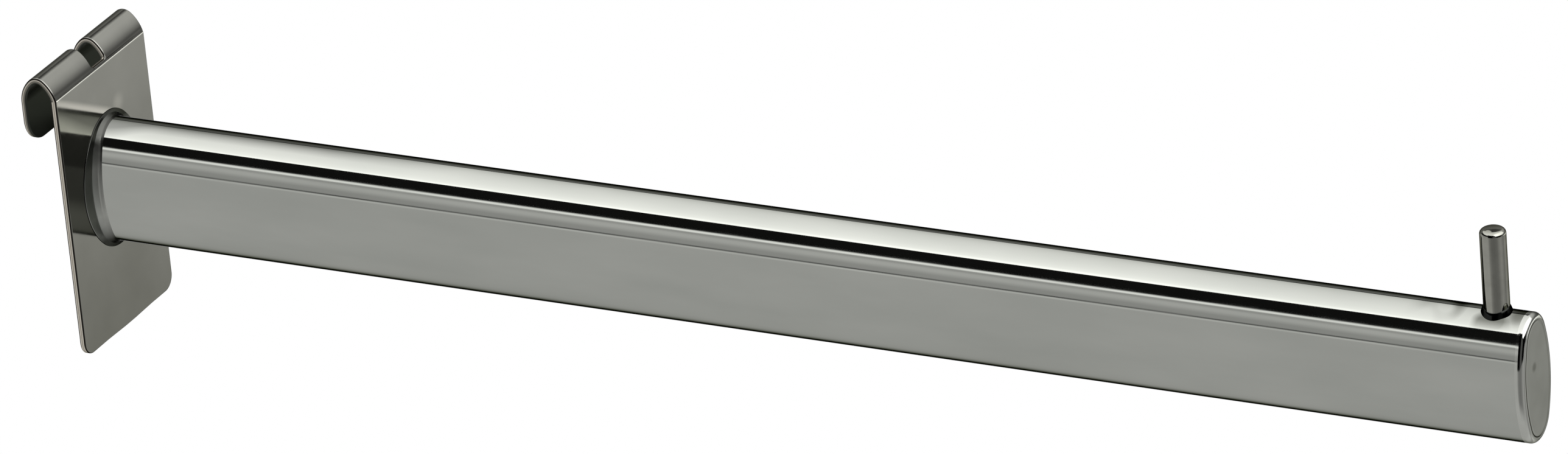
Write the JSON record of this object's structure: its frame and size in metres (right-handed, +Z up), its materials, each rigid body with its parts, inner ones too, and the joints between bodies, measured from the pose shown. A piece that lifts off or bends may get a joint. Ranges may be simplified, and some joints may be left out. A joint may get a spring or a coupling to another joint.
{
  "type": "gridwall hook",
  "caption": "Flat-oval display arm with a folded back plate that hooks over a grid wire and an upright stop pin near its free end.",
  "frame": {"origin": "on the back face of the plate, on the arm's axis", "axes": "+X out along the arm away from the grid, +Y across the plate, +Z up"},
  "size_m": [0.3593, 0.04, 0.0708],
  "materials": {
    "sheet_chrome": "polished chrome plate on steel sheet",
    "tube_chrome": "bright chrome plate on steel tube",
    "cap_chrome": "bright chrome plate on a welded steel disc",
    "pin_chrome": "chrome plate on steel rod",
    "weld_chrome": "chrome plate over a dressed weld bead"
  },
  "bodies": {
    "root": {"back_plate": "sheet_chrome", "arm_tube": "tube_chrome", "end_cap": "cap_chrome", "arm_weld": "weld_chrome", "stop_pin": "pin_chrome", "pin_weld": "weld_chrome"}
  },
  "joints": []
}
